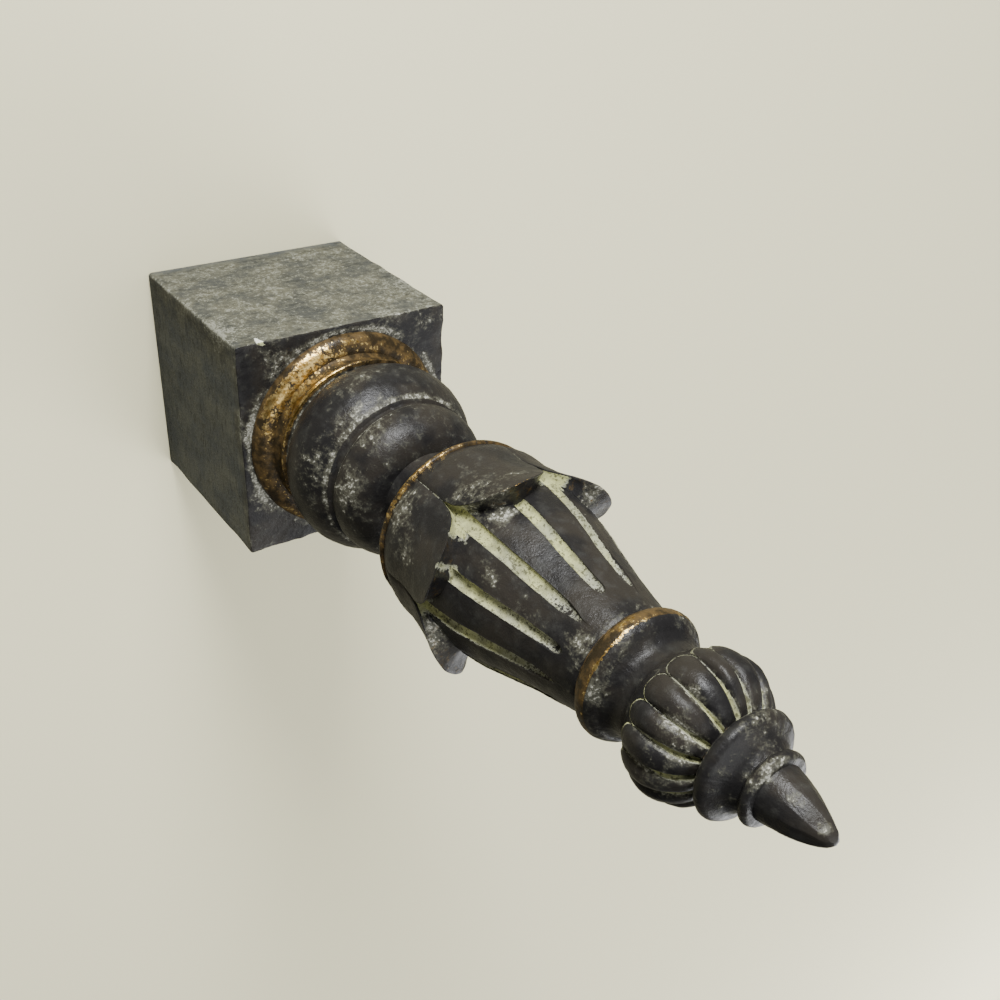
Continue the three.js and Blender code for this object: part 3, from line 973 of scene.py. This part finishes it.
def add_node(tree, kind, sockets, output=0, **settings):
    """Add a node, set its options, fill or link its sockets, and give one output."""
    node = tree.nodes.new("ShaderNode" + kind)
    for option, value in settings.items():
        setattr(node, option, value)
    for socket, value in sockets.items():
        if isinstance(value, bpy.types.NodeSocket):
            tree.links.new(value, node.inputs[socket])
        else:
            node.inputs[socket].default_value = value
    return node.outputs[output] if len(node.outputs) else node


def per_metre(size_mm):
    """The scale that gives a pattern features of this size on Object coordinates."""
    return 1000 / size_mm


def lay_coats(tree, coats, made):
    """Lay the coats of a table in turn, and keep each coat and its share in made."""
    for name, under, over, value, grains, start, full, reach in coats:
        amount = made[value]
        for grain, weight in grains.items():
            amount = add_node(tree, "Math", {0: made[grain], 1: weight, 2: amount}, operation="MULTIPLY_ADD")
        border = {"Value": amount, "From Min": start, "From Max": full, "To Max": reach}
        share = add_node(tree, "MapRange", border, interpolation_type="SMOOTHSTEP")
        tones = [linear(tone) if tone.startswith("#") else made[tone] for tone in (under, over)]
        colours = {0: share, COLOUR_A: tones[0], COLOUR_B: tones[1]}
        made[name] = add_node(tree, "Mix", colours, output=MIXED_COLOUR, data_type="RGBA")
        made[name + " share"] = share


print("pale cream in linear light:", [round(part, 2) for part in linear("#c9caa4")])

# %% [markdown]
# ## Black paint over cream, with gilding
#
# Real work of this kind has a cream gesso ground, black oil paint over it, and leaf on brown bole on
# the rings. The paint is a warm charcoal whose half-gloss grit and brush marks break up. One shader,
# and not four side by side, keeps the borders as fine as the noise that breaks them.

# %% Grain of the paint, from broad clouds to grit
carved_paint = bpy.data.materials.new("black_oil_paint_over_cream_gesso")
tree = emptied_tree(carved_paint)
place = add_node(tree, "TexCoord", {}, output="Object")
made = {}
for title in ("cream", "gilt", "bole", "rub_and_glint"):
    made[title] = add_node(tree, "Attribute", {}, output="Fac", attribute_name=title)

# Real grit in the paint is about 0.1 mm, too fine to show, so it is drawn at 0.8 mm.
for title, size_mm, detail, sharpness in (
    ("cloud", 16, 3, 0.5), ("brush", 4.2, 5, 0.62), ("flake", 1.9, 4, 0.65), ("grit", 0.8, 3, 0.7),
):
    sockets = {"Vector": place, "Scale": per_metre(size_mm), "Detail": detail, "Roughness": sharpness}
    made[title] = add_node(tree, "TexNoise", sockets)

# Gold leaf cracks into scales of about 2 mm, and a noise bends the cracks.
crack_size_mm = 1.7
crack_wander_mm = 2.4
bend = {"Vector": place, "Scale": per_metre(2.2), "Detail": 3.0}
wandering = add_node(tree, "TexNoise", bend, output="Color")
bent = {0: wandering, 1: (crack_wander_mm * MM,) * 3, 2: place}
crack_place = add_node(tree, "VectorMath", bent, operation="MULTIPLY_ADD")
scales = {"Vector": crack_place, "Scale": per_metre(crack_size_mm)}
made["crackle"] = add_node(tree, "TexVoronoi", scales, feature="DISTANCE_TO_EDGE")
print("grains:", list(made))

# %% Coats of paint, bole, leaf and ground
wear_and_glint_grains = {"cloud": 0.5, "brush": 0.9, "flake": 1.3, "grit": 0.7}
leaf_grains = {"cloud": 0.8, "brush": 1.5, "flake": 0.9, "grit": 0.4, "crackle": 1.0}
ground_grains = {"brush": 0.5, "flake": 0.8, "grit": 0.5}
haze_grains = {"cloud": 0.5, "brush": 0.9, "flake": 1.0, "grit": 0.6}
lay_coats(tree, (
    # coat, under, over, value, grains, start, full, reach
    ("charcoal", "#1e1d1d", "#2b2824", "cloud", {}, 0.4, 0.6, 1),
    ("dusty", "charcoal", "#363633", "brush", {}, 0.46, 0.7, 0.45),
    # A pale film where rubbing is high: worn paint, and painted sheen in the glint patches
    ("rubbed_and_sheen", "dusty", "#5d5c4f", "rub_and_glint", haze_grains, 2.1, 2.36, 0.5),
    ("fleck tone", "#68675c", "#b6b4a8", "grit", {}, 0.42, 0.66, 1),
    # Pale flecks: worn paint, and painted glints that stand for the lamp's sparkle on gritty gloss
    ("flecked", "rubbed_and_sheen", "fleck tone", "rub_and_glint", wear_and_glint_grains, 2.56, 2.74, 0.85),
    ("bole tone", "#2a2317", "#514127", "brush", {}, 0.4, 0.62, 1),
    ("boled", "flecked", "bole tone", "bole", {"flake": 0.9}, 0.87, 1.03, 1),
    ("gold tone", "#91723a", "#cdb274", "flake", {}, 0.42, 0.62, 1),
    ("gilded", "boled", "gold tone", "gilt", leaf_grains, 2.5, 2.7, 1),
    ("cream tone", "#a9aa79", "#909178", "cloud", {}, 0.42, 0.58, 1),
    ("chalked", "cream tone", "#9fa093", "cream", {}, 0.9, 0.66, 1),
    ("stained", "chalked", "#757558", "brush", {}, 0.42, 0.66, 0.75),
    ("grimed", "stained", "#3d3c2c", "flake", {"grit": 0.9}, 0.97, 1.1, 0.8),
    ("finished", "gilded", "grimed", "cream", ground_grains, 1.52, 1.62, 1),
), made)
print("carved paint has", len(tree.nodes), "nodes so far")

# %% Gloss and relief of the carved surfaces
brushy = {"Value": made["brush"], "From Min": 0.35, "From Max": 0.65, "To Min": 0.27, "To Max": 0.44}
gloss = add_node(tree, "MapRange", brushy)
# Matt where the pale flecks, worn paint and painted glints alike, and the cream show
bare_and_glint_share = add_node(
    tree, "Math", {0: made["flecked share"], 1: made["finished share"]}, operation="MAXIMUM")
for share, roughness in ((made["gilded share"], 0.34), (bare_and_glint_share, 0.72)):
    gloss = add_node(tree, "Mix", {0: share, 2: gloss, 3: roughness})
relief = None
for title, depth_mm, strength, sunk in (
    ("brush", 0.5, 0.4, False), ("flake", 0.35, 0.45, False), ("grit", 0.2, 0.5, False),
    ("finished share", 0.15, 0.6, True),
):
    sockets = {"Strength": strength, "Distance": depth_mm * MM, "Height": made[title]}
    if relief:
        sockets["Normal"] = relief
    relief = add_node(tree, "Bump", sockets, invert=sunk)

# Old paint has lost its varnish, so it reflects far less than new gloss at a low angle.
surface = add_node(tree, "BsdfPrincipled", {
    "Base Color": made["finished"], "Metallic": made["gilded share"], "Roughness": gloss, "Normal": relief,
    "Specular IOR Level": 0.15,
})
add_node(tree, "OutputMaterial", {"Surface": surface})
print("carved paint:", len(tree.nodes), "nodes")

# %% [markdown]
# ## Limed grey paint on the block
#
# The block's sides have a thinner, greyer coat, brushed round the block and rubbed back with lime.
# Brush marks are a noise on coordinates that are squeezed upwards, so each mark is long across the
# block and narrow along the shaft.

# %% The block's sides
block_paint = bpy.data.materials.new("limed_grey_paint_on_softwood")
tree = emptied_tree(block_paint)
place = add_node(tree, "TexCoord", {}, output="Object")
stroke_place = add_node(tree, "Mapping", {"Vector": place, "Scale": (1, 1, 4)})
made = {}
for title in ("cream", "rub_and_glint"):
    made[title] = add_node(tree, "Attribute", {}, output="Fac", attribute_name=title)
# Here too the grit is drawn coarser than it is.
for title, vector, size_mm, detail, sharpness in (
    ("mottle", place, 15, 8, 0.66), ("strokes", stroke_place, 6, 5, 0.6),
    ("flake", place, 2.4, 5, 0.7), ("grit", place, 0.9, 2, 0.6),
):
    sockets = {"Vector": vector, "Scale": per_metre(size_mm), "Detail": detail, "Roughness": sharpness}
    made[title] = add_node(tree, "TexNoise", sockets)
lay_coats(tree, (
    # coat, under, over, value, grains, start, full, reach
    # One grey in two tones by side: those turned from the key lamp are lighter, a painted fill light
    ("grey_with_painted_fill", "#505352", "#606159", "mottle", {}, 0.38, 0.62, 1),
    ("lamp_side_grey", "#434440", "#535144", "mottle", {}, 0.36, 0.64, 1),
    ("grey", "grey_with_painted_fill", "lamp_side_grey", "rub_and_glint", {}, 0.34, 0.56, 1),
    ("patched", "grey", "#6a6a59", "rub_and_glint", {"mottle": 1.0, "flake": 1.2, "grit": 0.4}, 1.7, 2.1, 0.5),
    ("dark strokes", "patched", "#31322d", "strokes", {"flake": 0.4}, 0.68, 0.52, 0.6),
    ("pale strokes", "dark strokes", "#6c6c5d", "strokes", {"flake": 0.6, "grit": 0.3}, 1.02, 1.2, 0.5),
    ("grimed", "pale strokes", "#2b2b25", "flake", {"grit": 0.6}, 0.86, 1.0, 0.5),
    ("limed", "grimed", "#8b8b7f", "rub_and_glint", {"mottle": 0.8, "flake": 1.2, "grit": 1.2}, 2.26, 2.5, 0.7),
    ("finished", "limed", "#d0d0c2", "cream", {"flake": 0.6}, 0.9, 1.0, 1),
), made)
matt = {"Value": made["grit"], "From Min": 0.35, "From Max": 0.65, "To Min": 0.4, "To Max": 0.62}
gloss = add_node(tree, "MapRange", matt)
relief = None
for title, depth_mm, strength in (("strokes", 0.45, 0.6), ("flake", 0.35, 0.5), ("grit", 0.2, 0.45)):
    sockets = {"Strength": strength, "Distance": depth_mm * MM, "Height": made[title]}
    if relief:
        sockets["Normal"] = relief
    relief = add_node(tree, "Bump", sockets)
surface = add_node(tree, "BsdfPrincipled", {
    "Base Color": made["finished"], "Roughness": gloss, "Normal": relief, "Specular IOR Level": 0.1,
})
add_node(tree, "OutputMaterial", {"Surface": surface})
print("block paint:", len(tree.nodes), "nodes")

# %% [markdown]
# ## Which faces take which paint
#
# The grey coat stops at the block's upper arris. The mesh holds both paints, and each face has the
# number of its own.

# %% Grey for the block's sides, black for the rest
finial.data.materials.append(carved_paint)
finial.data.materials.append(block_paint)
last_side_row = rows_in("upper arris")[1]
side_faces = [
    face for face in finial.data.polygons
    if max(point_row[i] for i in face.vertices) <= last_side_row]
for face in side_faces:
    face.material_index = 1
print("faces with the block's grey coat:", len(side_faces))

# %% [markdown]
# ## Floor and light
#
# The stage is a plain pale floor. In the photo the light comes from beyond the block, broad and cool,
# and leaves a soft glint on each bead. A disc lamp gives that, a larger, weaker one overhead fills the
# shadows, and a third lights the hidden sides.
# In the photo the finial lies on its shadow, so little light comes up to it. Ours stands free, so
# floor and air are darker for the light that they throw on it than where the camera sees them. The
# floor fills the camera's view and ends near the lamps, which light nothing behind.

# %% Floor
floor_radius = 1.85
bpy.ops.object.select_all(action="DESELECT")
bpy.ops.mesh.primitive_circle_add(vertices=128, radius=floor_radius, fill_type="NGON")
floor = bpy.context.object
floor.name = "floor"
floor_paint = bpy.data.materials.new("matt_studio_floor")
tree = emptied_tree(floor_paint)
seen_directly = add_node(tree, "LightPath", {}, output="Is Camera Ray")
bounced, seen = linear("#86826c"), linear("#eee8c2")
colours = {0: seen_directly, COLOUR_A: bounced, COLOUR_B: seen}
tone = add_node(tree, "Mix", colours, output=MIXED_COLOUR, data_type="RGBA")
surface = add_node(tree, "BsdfPrincipled", {"Base Color": tone, "Roughness": 0.9})
add_node(tree, "OutputMaterial", {"Surface": surface})
floor.data.materials.append(floor_paint)
print("floor", 2 * floor_radius, "m across")


# %% Light
def soft_light(name, place, size, power, colour):
    """A round soft lamp that faces the middle of the finial."""
    bpy.ops.object.light_add(type="AREA", location=place)
    lamp = bpy.context.object
    lamp.name = name
    lamp.data.shape = "DISK"
    lamp.data.size = size
    lamp.data.energy = power
    lamp.data.color = linear(colour)[:3]
    aim = Vector((0, 0, total_height * 0.45 * MM)) - Vector(place)
    lamp.rotation_mode = "QUATERNION"
    lamp.rotation_quaternion = aim.to_track_quat("-Z", "Y")
    print(name, power, "W,", size, "m across")


soft_light("key_softbox", (-0.12, 1.28, 0.5), 0.6, 46, "#fdfeff")
soft_light("top_softbox", (0.15, -0.15, 2.1), 2.0, 36, "#fdfeff")
soft_light("back_softbox", (1.0, -1.2, 0.7), 1.4, 24, "#fdfeff")

# %% Air
world = bpy.data.worlds.new("studio_air")
bpy.context.scene.world = world
tree = emptied_tree(world)
seen_directly = add_node(tree, "LightPath", {}, output="Is Camera Ray")
strength = add_node(tree, "Mix", {0: seen_directly, 2: 0.14, 3: 0.7})
air = add_node(tree, "Background", {"Color": linear("#f2f4f2"), "Strength": strength})
add_node(tree, "OutputWorld", {"Surface": air})
print("air:", len(tree.nodes), "nodes")
